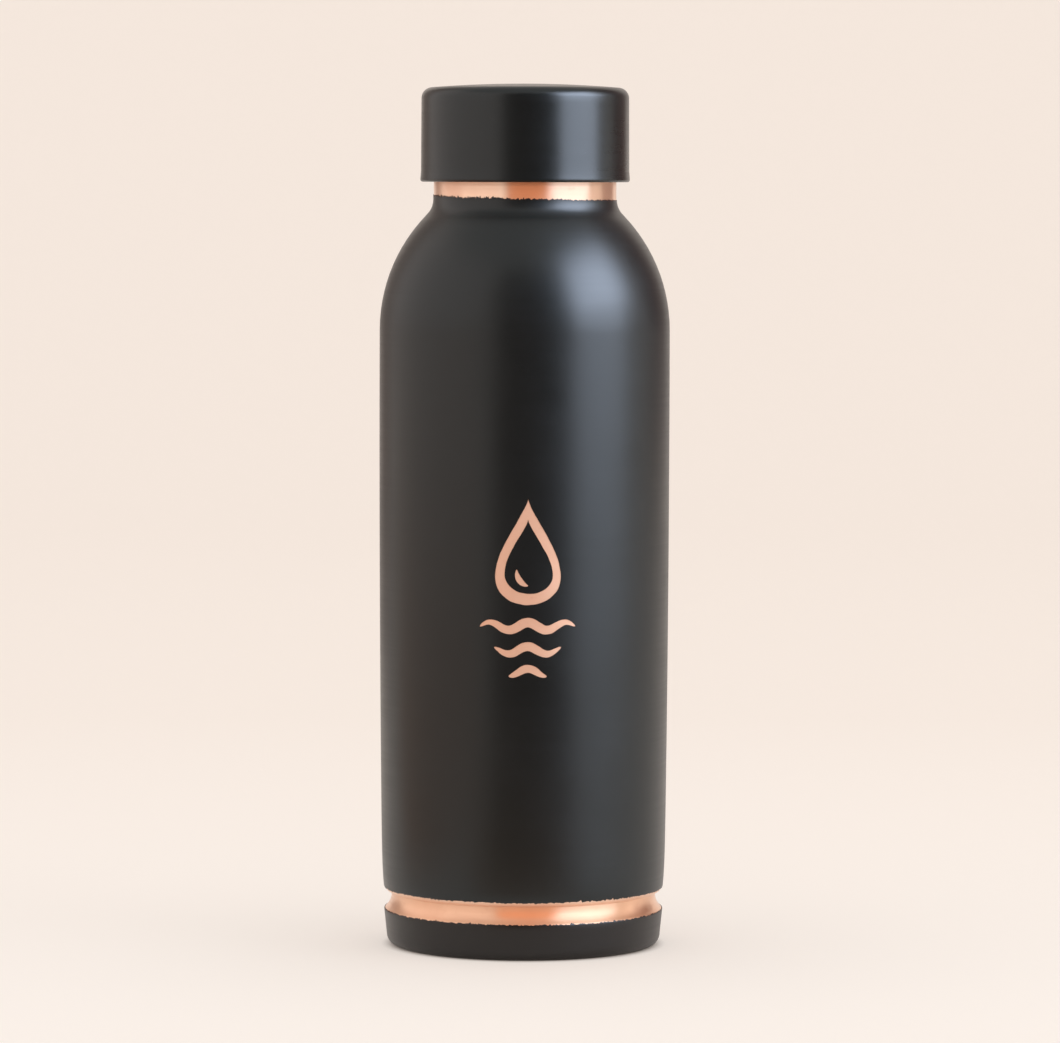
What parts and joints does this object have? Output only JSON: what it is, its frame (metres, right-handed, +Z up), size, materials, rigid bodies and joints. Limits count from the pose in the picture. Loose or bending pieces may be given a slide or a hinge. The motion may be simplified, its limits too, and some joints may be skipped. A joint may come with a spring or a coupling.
{
  "type": "water bottle",
  "caption": "Slim round water bottle with a domed shoulder, short neck, stepped base and a wide screw cap, coated black over copper.",
  "frame": {"origin": "centre of the base, on the surface that the bottle stands on", "axes": "+Z up along the bottle's axis, -Y towards the front with the etched motif, +X to the right"},
  "size_m": [0.074, 0.074, 0.2201],
  "materials": {
    "black_coat": "satin",
    "bare_copper": "satin",
    "silicone": "matte"
  },
  "bodies": {
    "bottle": {"body_shell": "black_coat", "base_cup": "black_coat", "neck_collar": "bare_copper"},
    "washer_carrier": {"cap_washer": "silicone"},
    "cap": {"cap_shell": "black_coat", "cap_thread_ring": "bare_copper", "cap_lining": "bare_copper"}
  },
  "joints": [
    {"name": "cap_rise", "type": "slide", "parent": "bottle", "child": "washer_carrier", "axis": [0, 0, 1], "range_m": [0, 0.026]},
    {"name": "cap_turn", "type": "hinge", "parent": "washer_carrier", "child": "cap", "pos_m": [0, 0, 0.2], "axis": [0, 0, 1], "range_deg": [0, 1170]}
  ],
  "couplings": [
    {"joint": "cap_rise", "follows": "cap_turn", "m_per_rad": 0.0012732}
  ]
}
